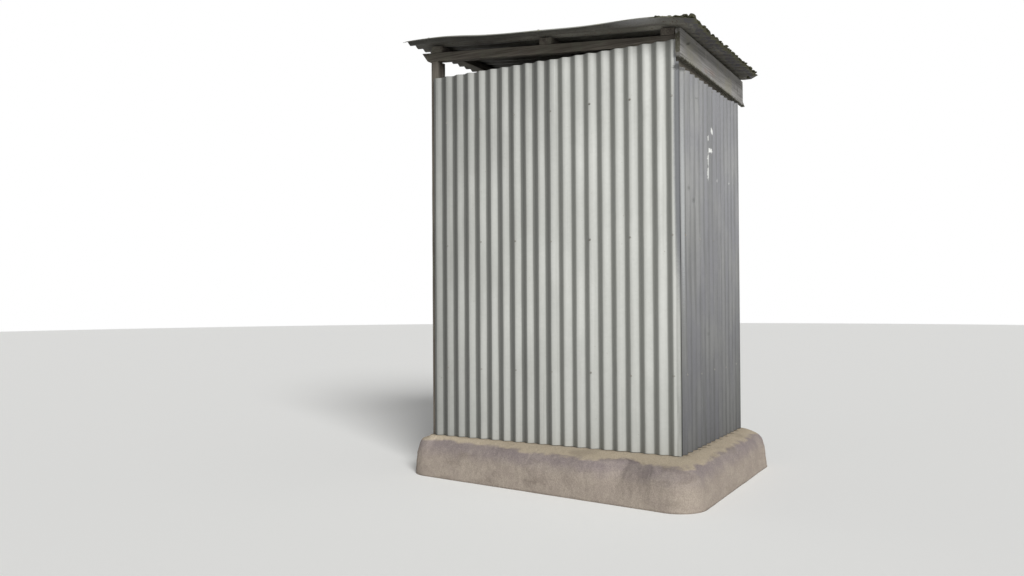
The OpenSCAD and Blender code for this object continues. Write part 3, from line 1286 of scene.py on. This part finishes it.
    def build_side(self, side: Side, sign: float) -> None:
        """Builds one side wall.

        Args:
            side: Which side it is.
            sign: 1 for the right side and -1 for the left.
        """
        name = side.value
        low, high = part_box(f"side_sheet_{name}_front")
        back_low, back_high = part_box(f"side_sheet_{name}_back")
        zero = low.y - self.side_first * self.profile.pitch
        middle = (back_low.x + back_high.x) / 2
        plane = Plane(Vector((middle, zero, low.z)), Y_AXIS, X_AXIS * sign, Z_AXIS)
        dents = self.side_dents if side is Side.RIGHT else self.side_dents[::2]
        seed = 2.0 * sign
        relief = self.relief(self.rail_rows, self.nail_every, dents, seed, flat_from=self.flat_corner)
        run = SheetRun(plane, self.profile, relief, high.z - low.z, "wall_iron", self.side_drift)
        frame_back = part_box(f"post_back_{name}")[1].y
        notch = CutOut(self.notch_height, Grain.Y, frame_back - self.notch_clearance)
        front_half_zinc, back_half_zinc = self.finishes.side_iron_front, self.finishes.side_iron_back
        for part, step, cut_out, iron in (("front", self.lap_step, None, front_half_zinc), ("back", 0.0, notch, back_half_zinc)):
            node = f"side_sheet_{name}_{part}"
            run.sheet(f"{name}_wall_iron_{part}", node, step, [iron, iron], cut_out)
        places = self.nail_places(run, self.rail_rows, self.side_crests, self.nail_every, seed=11)
        self.nails.heads(f"{name}_wall_nails", run, places, self.finishes.nail)

    def build_back(self) -> None:
        """Builds the back wall."""
        low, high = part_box("back_sheet_right")
        zero = high.x + self.back_first * self.profile.pitch
        plane = Plane(Vector((zero, (low.y + high.y) / 2, low.z)), -X_AXIS, Y_AXIS, Z_AXIS)
        relief = self.relief(self.back_rows, self.nail_every, self.back_dents, seed=5.0, tuck_to=self.tuck_to)
        length = high.z - low.z
        drift, longer = self.back_drift, self.back_longer
        run = SheetRun(plane, self.profile, relief, length, "wall_iron", drift, longer=longer)
        for i, part in enumerate(("right", "left")):
            step = i * self.lap_step
            run.sheet(f"back_wall_iron_{part}", f"back_sheet_{part}", step, [self.finishes.back_iron] * 2)
        places = self.nail_places(run, self.back_rows, self.back_crests, self.nail_every, seed=23)
        self.nails.heads("back_wall_nails", run, places, self.finishes.nail)

    def build_door(self) -> None:
        """Builds the door's sheet."""
        low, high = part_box("door_sheet")
        plane = Plane(Vector((low.x, (low.y + high.y) / 2, low.z)), X_AXIS, -Y_AXIS, Z_AXIS)
        length = high.z - low.z
        rows = (self.door_row_inset, length / 2, length - self.door_row_inset)
        relief = self.relief(rows, self.door_nail_every, (), seed=9.0)
        run = SheetRun(plane, self.profile, relief, length, "wall_iron")
        run.sheet("door_iron", "door_sheet", 0.0, [self.finishes.door_iron] * 2)
        crests = round(run.ends("door_sheet")[1])
        places = self.nail_places(run, rows, crests, self.door_nail_every, seed=31)
        self.nails.heads("door_nails", run, places, self.finishes.nail)


@dataclass
class Roof:
    """The lean-to roof: two lapped sheets that sag between the purlins, their nails and their moss."""

    finishes: Finishes
    profile: Profile = field(default_factory=Profile)
    nails: Nails = field(default_factory=Nails)
    fall_deg: float = 5.0
    purlin_thickness: float = 36 * MM
    length: float = 1.775
    lap_step: float = 1.0 * MM
    sag: float = 6 * MM
    back_droop: float = 9 * MM
    curl_width: float = 1.6
    curl_full: float = 0.45
    curls: tuple[Triple, ...] = ((13 * MM, 0.3, 0.25), (19 * MM, 1.5, 0.3))
    roughness: float = 1.2 * MM
    turned_from: float = 15.9
    turned_width: float = 0.6
    turned_down: Knots = ((1.20, 0.0), (1.45, 0.033), (1.725, 0.036), (1.755, 0.012), (1.775, 0.004))
    nail_every: int = 2
    moss_seed: int = 5
    moss_count: int = 110
    lip_moss_mm: tuple[float, float] = (9, 15)
    loose_moss_mm: tuple[float, float] = (6, 12)
    moss_hang: float = 1.1
    moss_inset: float = 0.3
    moss_near_share: float = 0.45
    corner_moss: tuple[Triple, ...] = (
        (0.22, 0.004, 17 * MM),
        (0.52, 0.010, 20 * MM),
        (0.86, 0.006, 18 * MM),
        (0.40, 0.046, 17 * MM),
        (0.75, 0.060, 15 * MM),
        (1.30, 0.020, 15 * MM),
    )

    def plane(self) -> Plane:
        """Works out where the roof's sheets lie.

        Returns:
            The plane, counted from the right edge and from the front end down the slope.
        """
        fall = math.radians(self.fall_deg)
        normal = Vector((0, math.sin(fall), math.cos(fall)))
        down = Vector((0, math.cos(fall), -math.sin(fall)))
        low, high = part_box("purlin_middle")
        lift = self.purlin_thickness / 2 + self.profile.depth / 2 + self.profile.thickness / 2
        middle = (low + high) / 2 + normal * lift
        sheet_low, sheet_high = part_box("roof_sheet_right")
        centre_y = (sheet_low.y + sheet_high.y) / 2
        centre = middle + down * ((centre_y - middle.y) / down.y)
        corner = centre - down * (self.length / 2)
        return Plane(Vector((sheet_high.x, corner.y, corner.z)), -X_AXIS, normal, down)

    def purlin_marks(self, plane: Plane) -> list[float]:
        """Distances down the slope at which the purlins carry the sheets."""
        marks = []
        for part in ("front", "middle", "back"):
            low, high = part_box(f"purlin_{part}")
            marks.append(((low + high) / 2 - plane.origin).dot(plane.along))
        return marks

    def relief(self, marks: Sequence[float]) -> Relief:
        """Makes the function that lets the sheets sag between the purlins and droop at their ends.

        Args:
            marks: Where the purlins carry the sheets.

        Returns:
            Outward shift in metres at u corrugations and t down the slope.
        """

        def shift(u: float, t: float) -> float:
            front, middle, back = marks
            loose = 0.6 + 0.4 * noise.noise((u * 0.4, 2.0, 7.0))
            if t < front:
                out = 0.0
            elif t > back:
                out = -self.back_droop * ((t - back) / (self.length - back)) ** 1.5
            else:
                start, end = (front, middle) if t < middle else (middle, back)
                out = -self.sag * loose * math.sin(math.pi * (t - start) / (end - start)) ** 2
            if u < self.curl_width:
                lift = sum(high * bump_of(t - place, size) for high, place, size in self.curls)
                lift = min(lift, t * math.sin(math.radians(self.fall_deg)))
                out += lift * min(1.0, (self.curl_width - u) / (self.curl_width - self.curl_full)) ** 2
            if u > self.turned_from:
                out -= between(self.turned_down, t) * (u - self.turned_from) / self.turned_width
            rough = noise.noise((u * 0.7, t * 2.0, 1.0)) - 0.5
            return out + self.roughness * min(0.0, rough) * self.profile.crest(u)

        return shift

    def build(self) -> None:
        """Builds the sheets, the nails and the moss."""
        plane = self.plane()
        relief = self.relief(self.purlin_marks(plane))
        run = SheetRun(plane, self.profile, relief, self.length, "roof_iron", ragged=4 * MM)
        iron = [self.finishes.roof_top, self.finishes.roof_under]
        for i, part in enumerate(("right", "left")):
            run.sheet(f"roof_iron_{part}", f"roof_sheet_{part}", i * self.lap_step, iron)
        crests = round(run.ends("roof_sheet_left")[1])
        places = []
        for mark in self.purlin_marks(plane):
            for k in range(0, crests - 1, self.nail_every):
                u = k + 0.5
                out = self.profile.wave(u) + relief(u, mark) + self.lap_step
                places.append((u * self.profile.pitch, out, mark))
        self.nails.heads("roof_nails", run, places, self.finishes.nail)
        self.build_moss(run, crests)

    def build_moss(self, run: SheetRun, crests: int) -> None:
        """Builds cushions of moss along the lower end and at the near corner.

        Args:
            run: The roof's run of sheets, which the cushions sit on.
            crests: Number of crests.
        """
        plane, relief = run.plane, run.relief
        draw = random.Random(self.moss_seed)
        lap, end = run.ends("roof_sheet_left")
        far = end - self.moss_inset
        clumps = [(u, 0.012 + back, size) for u, back, size in self.corner_moss]
        for k in range(crests * 2):
            u = min(k * 0.5 + draw.uniform(0.1, 0.4), far)
            clumps.append((u, draw.uniform(0.004, 0.012), draw.uniform(*self.lip_moss_mm) * MM))
        for _ in range(self.moss_count):
            near = draw.random() < self.moss_near_share
            u = draw.uniform(0.1, 2.0) if near else min(draw.uniform(0.15, crests - 0.15), far)
            back = abs(draw.gauss(0.0, 0.09 if near else 0.03))
            clumps.append((u, 0.006 + back, draw.uniform(*self.loose_moss_mm) * MM))
        bm = bmesh.new()
        for i, (u, back, size) in enumerate(clumps):
            t = self.length - back
            made = bmesh.ops.create_icosphere(bm, subdivisions=2, radius=size)
            squat = Vector((draw.uniform(0.9, 1.4), draw.uniform(0.8, 1.3), draw.uniform(0.5, 0.8)))
            bmesh.ops.scale(bm, verts=made["verts"], vec=squat)
            seat = self.profile.wave(u) + relief(u, t) + self.lap_step + size * 0.15
            for vert in made["verts"]:
                vert.co *= 1 + 0.4 * noise.noise(vert.co * 150 + Vector((i, 0, 0)))
                a, l, out = u * self.profile.pitch + vert.co.x, t + vert.co.y, seat + vert.co.z
                here = a / self.profile.pitch
                floor = self.profile.wave(here) + relief(here, min(l, self.length))
                floor += self.lap_step if here > lap else 0.0
                over = max(0.0, l - self.length)
                vert.co = plane.point(a, max(out, floor - self.moss_hang * over), l)
        bmesh.ops.recalc_face_normals(bm, faces=bm.faces)
        for face in bm.faces:
            face.smooth = True
        piece = finished(bm, "roof_moss", [self.finishes.moss])


@dataclass
class Timbers:
    """The sawn timbers of the frame, the fascia and the door, each with worn edges and wavy faces."""

    finishes: Finishes
    edge: float = 2.2 * MM
    flat_angle_deg: float = 0.5
    slice_length: float = 55 * MM
    waviness: float = 1.0 * MM
    end_clear: float = 20 * MM

    def piece(self, node: str, finish: OldTimber, slot: str) -> bpy.types.Object:
        """Builds one timber in place of its CAD node.

        Args:
            node: The CAD node.
            finish: Its finish, whose grain runs the way that the timber does.
            slot: The record's material slot; not used.

        Returns:
            The timber.
        """
        bm = bmesh.new()
        bm.from_mesh(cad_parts[node].data)
        bmesh.ops.remove_doubles(bm, verts=bm.verts, dist=0.01 * MM)
        flat = math.radians(self.flat_angle_deg)
        bmesh.ops.dissolve_limit(bm, angle_limit=flat, verts=bm.verts, edges=bm.edges)
        bmesh.ops.bevel(
            bm,
            geom=list(bm.edges),
            offset=self.edge,
            offset_type="OFFSET",
            affect="EDGES",
            segments=2,
            profile=0.5,
            material=-1,
            clamp_overlap=True,
        )
        start, end = (corner[finish.grain.value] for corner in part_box(node))
        normal = AXES[finish.grain.value]
        for i in range(1, max(2, round((end - start) / self.slice_length))):
            place = start + i * self.slice_length
            if place > end - self.end_clear:
                break
            geometry = list(bm.verts) + list(bm.edges) + list(bm.faces)
            spot = normal * place
            bmesh.ops.bisect_plane(bm, geom=geometry, dist=0.001 * MM, plane_co=spot, plane_no=normal)
        bm.normal_update()
        for vert in bm.verts:
            rough = 0.5 + 0.5 * noise.noise(vert.co * 14.0 + Vector((0, 0, len(node))))
            vert.co -= vert.normal * (self.waviness * rough)
        piece = finished(bm, f"{node}_timber", [finish])
        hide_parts(node)
        return piece

    def build(self) -> None:
        """Builds every timber."""
        upright, level, along = self.finishes.timber_z, self.finishes.timber_x, self.finishes.timber_y
        for end in ("front", "back"):
            for side in ("right", "left"):
                self.piece(f"post_{end}_{side}", upright, "frame_timber")
        for height in ("bottom", "middle", "top"):
            for side in ("right", "left"):
                self.piece(f"rail_{side}_{height}", along, "frame_timber")
            self.piece(f"rail_back_{height}", level, "frame_timber")
        self.piece("door_head", level, "frame_timber")
        for side in ("right", "left"):
            self.piece(f"rafter_{side}", along, "frame_timber")
            self.piece(f"door_stile_{side}", upright, "door_timber")
        for part in ("front", "middle", "back"):
            self.piece(f"purlin_{part}", level, "frame_timber")
        for part in ("top", "middle", "bottom"):
            self.piece(f"door_rail_{part}", level, "door_timber")
        self.piece("door_braces", upright, "door_timber")
        self.piece("fascia_back", self.finishes.board, "fascia_board")


@dataclass
class Slab:
    """The rough concrete slab: it widens to the back, and its lip is worn, lumpy and broken in places."""

    finishes: Finishes
    corner: float = 0.15
    right_front: float = 0.68
    around: int = 720
    face_rows: int = 22
    lip: float = 0.195
    lip_round: float = 1.3
    front_inset: float = 0.5
    face_lump: float = 14 * MM
    top_lump: float = 6 * MM
    seat_gap: float = 1.5 * MM
    seat_corner: float = 0.03
    seat_margin: float = 0.012
    face: Knots = (
        (0.000, 0.000),
        (0.030, 0.002),
        (0.060, 0.004),
        (0.090, 0.007),
        (0.115, 0.011),
        (0.137, 0.016),
        (0.156, 0.022),
        (0.172, 0.030),
        (0.185, 0.040),
        (0.195, 0.052),
    )
    roughness: Knots = ((5.0, 0.55), (13.0, 0.28), (33.0, 0.20), (71.0, 0.12))
    top_rows: int = 12
    middle_rows: int = 3
    broken_lip: Knots = (
        (-0.86, 0.0),
        (-0.74, 0.050),
        (-0.62, 0.058),
        (-0.34, 0.034),
        (-0.10, 0.010),
        (0.14, 0.008),
        (0.30, 0.0),
        (0.36, 0.006),
        (0.425, 0.040),
        (0.507, 0.110),
        (0.58, 0.080),
        (0.70, 0.010),
        (0.94, 0.0),
    )

    def walk(self, share: float, middles: Sequence[Vector], radius: float) -> tuple[Vector, Vector]:
        """Walks to the left round a four-sided outline with rounded corners.

        Args:
            share: How far round, from 0 to 1.
            middles: The middles of the corners' arcs.
            radius: The arcs' radius.

        Returns:
            The point, and the direction that faces out of the outline there.
        """
        runs = [middles[(i + 1) % 4] - middles[i] for i in range(4)]
        outs = [Vector((run.y, -run.x)).normalized() for run in runs]
        turns = [outs[i].angle(outs[(i + 1) % 4]) for i in range(4)]
        left = share * sum(run.length + turn * radius for run, turn in zip(runs, turns))
        for i in range(4):
            if left <= runs[i].length:
                return middles[i] + runs[i].normalized() * left + outs[i] * radius, outs[i]
            left -= runs[i].length
            if left <= turns[i] * radius:
                out = Matrix.Rotation(left / radius, 2) @ outs[i]
                return middles[(i + 1) % 4] + out * radius, out
            left -= turns[i] * radius
        return middles[0] + outs[0] * radius, outs[0]

    def corners(self, box: tuple[float, float, float, float, float], radius: float) -> list[Vector]:
        """Middles of the corner arcs of an outline.

        Args:
            box: The outline's right side at the back and at the front, its left side, front and back.
            radius: The arcs' radius.

        Returns:
            The four middles, from the right back one to the left.
        """
        right_back, right_front, left, front, back = box
        return [
            Vector((right_back - radius, back - radius)),
            Vector((left + radius, back - radius)),
            Vector((left + radius, front + radius)),
            Vector((right_front - radius, front + radius)),
        ]

    def build(self) -> None:
        """Builds the slab in place of its CAD node."""
        low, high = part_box("slab")
        edge = self.corners((high.x, self.right_front, low.x, low.y, high.y), self.corner)
        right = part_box("side_sheet_right_front")[1].x + self.seat_margin
        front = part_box("post_front_right")[0].y - self.seat_margin
        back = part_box("back_sheet_left")[1].y + self.seat_margin
        seat = self.corners((right, right, -right, front, back), self.seat_corner)
        seat_z = high.z - self.seat_gap
        last = self.face_rows
        rows = last + self.top_rows + self.middle_rows
        bm = bmesh.new()
        bmesh.ops.create_grid(bm, x_segments=self.around, y_segments=rows, size=0.5)
        for vert in bm.verts:
            row = round((vert.co.y + 0.5) * rows)
            base, out = self.walk(vert.co.x + 0.5, edge, self.corner)
            height = self.lip * (1 - (1 - min(1.0, row / last)) ** self.lip_round)
            inset = between(self.face, height) * (1 - self.front_inset * max(0.0, -out.y))
            lumps = self.lumps(Vector((base.x, base.y, height)))
            if base.x > 0:
                broken = max(0.0, out.x) * between(self.broken_lip, base.y)
                inset += broken * min(1.0, height / self.lip) ** 1.5
            inset += self.face_lump * max(0.0, 0.45 + lumps) * min(1.0, 0.35 + height / 0.1)
            lip = base - out * inset
            if row > last:
                inner, _ = self.walk(vert.co.x + 0.5, seat, self.seat_corner)
                share = min(1.0, (row - last) / self.top_rows)
                height += (seat_z - height) * (1 - (1 - share) ** 2)
                lip = lip.lerp(inner, share)
                hollow = max(0.0, 0.5 + self.lumps(lip.to_3d()))
                height -= self.top_lump * math.sin(math.pi * share) * hollow
                if row > last + self.top_rows:
                    lip = inner * (1 - (row - last - self.top_rows) / self.middle_rows)
                    height = seat_z
            vert.co = (lip.x, lip.y, low.z + height)
        bmesh.ops.remove_doubles(bm, verts=bm.verts, dist=0.05 * MM)
        bmesh.ops.holes_fill(bm, edges=[e for e in bm.edges if e.is_boundary], sides=0)
        bmesh.ops.recalc_face_normals(bm, faces=bm.faces)
        for face in bm.faces:
            face.smooth = len(face.verts) < 5
        piece = finished(bm, "slab_concrete", [self.finishes.concrete])
        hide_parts("slab")

    def lumps(self, spot: Vector) -> float:
        """Unevenness of hand-laid concrete at a point, from about -1 to 1."""
        return sum(share * noise.noise(spot * often) for often, share in self.roughness)


@dataclass
class Fittings:
    """The door's hinges and bolt, which keep their CAD shapes."""

    finishes: Finishes

    def build(self) -> None:
        """Dresses the hinges and the bolt."""
        for node in ("hinge_top", "hinge_bottom", "latch"):
            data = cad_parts[node].data
            data.materials.clear()
            data.materials.append(self.finishes.fitting.material)
            LOG.info("%s: dressed", node)


@dataclass
class Studio:
    """Camera at the photo's viewing point, soft light and a plain pale floor."""

    focal_px: float = 851.77
    image_px: float = 1024.0
    sensor_mm: float = 36.0
    eye: tuple[float, float, float] = (4.6894, 2.1857, 1.0202)
    yaw_deg: float = 210.031
    pitch_deg: float = 0.723
    roll_deg: float = -0.35
    key_azimuth_deg: float = 46.0
    key_height_deg: float = 30.0
    key_strength: float = 3.25
    key_softness_deg: float = 25.0
    ambient: float = 0.24
    floor_size: float = 60.0
    floor_segments: int = 96

    def build(self) -> None:
        """Sets up the camera, the lights, the world and the floor."""
        self.build_camera()
        self.build_lights()
        self.build_world()
        self.build_floor()

    def build_camera(self) -> None:
        """Places the camera where the photo was taken from."""
        yaw, pitch, roll = (math.radians(a) for a in (self.yaw_deg, self.pitch_deg, self.roll_deg))
        ahead = Vector((math.cos(pitch) * math.cos(yaw), math.cos(pitch) * math.sin(yaw), math.sin(pitch)))
        level = Vector((math.sin(yaw), -math.cos(yaw), 0))
        up = level.cross(ahead)
        right = level * math.cos(roll) + up * math.sin(roll)
        above = up * math.cos(roll) - level * math.sin(roll)
        turn = Matrix((right, above, -ahead)).transposed().to_4x4()
        data = bpy.data.cameras.new("photo_camera")
        data.sensor_width = self.sensor_mm
        data.lens = self.focal_px / self.image_px * self.sensor_mm
        camera = bpy.data.objects.new("photo_camera", data)
        camera.matrix_world = Matrix.Translation(self.eye) @ turn
        bpy.context.scene.collection.objects.link(camera)
        bpy.context.scene.camera = camera

    def build_lights(self) -> None:
        """Adds a broad soft key light from the camera's right."""
        azimuth, height = math.radians(self.key_azimuth_deg), math.radians(self.key_height_deg)
        level = Vector((math.cos(azimuth), math.sin(azimuth), 0)) * math.cos(height)
        towards = level + Vector((0, 0, math.sin(height)))
        data = bpy.data.lights.new("key_light", "SUN")
        data.energy = self.key_strength
        data.angle = math.radians(self.key_softness_deg)
        lamp = bpy.data.objects.new("key_light", data)
        lamp.rotation_mode = "QUATERNION"
        lamp.rotation_quaternion = towards.to_track_quat("Z", "Y")
        bpy.context.scene.collection.objects.link(lamp)

    def build_world(self) -> None:
        """Makes an even pale sky that the camera, gloss and glass see as white."""
        world = bpy.data.worlds.new("studio_sky")
        bpy.context.scene.world = world
        world.use_nodes = True
        tree = world.node_tree
        tree.nodes.clear()
        rays = add_node(tree, "LightPath").node.outputs
        seen = add_node(tree, "Math", LARGER, links={0: rays["Is Camera Ray"], 1: rays["Is Glossy Ray"]})
        white = add_node(tree, "Math", LARGER, links={0: seen, 1: rays["Is Transmission Ray"]})
        span = {"To Min": self.ambient, "To Max": 1.0}
        strength = add_node(tree, "MapRange", values=span, links={"Value": white})
        sky = add_node(tree, "Background", values={"Color": linear("#ffffff")}, links={"Strength": strength})
        add_node(tree, "OutputWorld", links={"Surface": sky})

    def build_floor(self) -> None:
        """Lays the floor under the slab."""
        bm = bmesh.new()
        radius = self.floor_size / 2
        bmesh.ops.create_circle(bm, cap_ends=True, segments=self.floor_segments, radius=radius)
        mesh = bpy.data.meshes.new("studio_floor")
        bm.to_mesh(mesh)
        bm.free()
        mesh.materials.append(PaleFloor("studio_floor_pale").material)
        floor = bpy.data.objects.new("studio_floor", mesh)
        bpy.context.scene.collection.objects.link(floor)


def main() -> None:
    logging.basicConfig(level=logging.INFO, format="%(name)s %(message)s")
    bpy.context.scene.view_settings.view_transform = "Standard"
    Studio().build()
    finishes = Finishes()
    Slab(finishes).build()
    Timbers(finishes).build()
    WallCladding(finishes).build()
    Roof(finishes).build()
    Fittings(finishes).build()


if __name__ == "__main__":
    main()
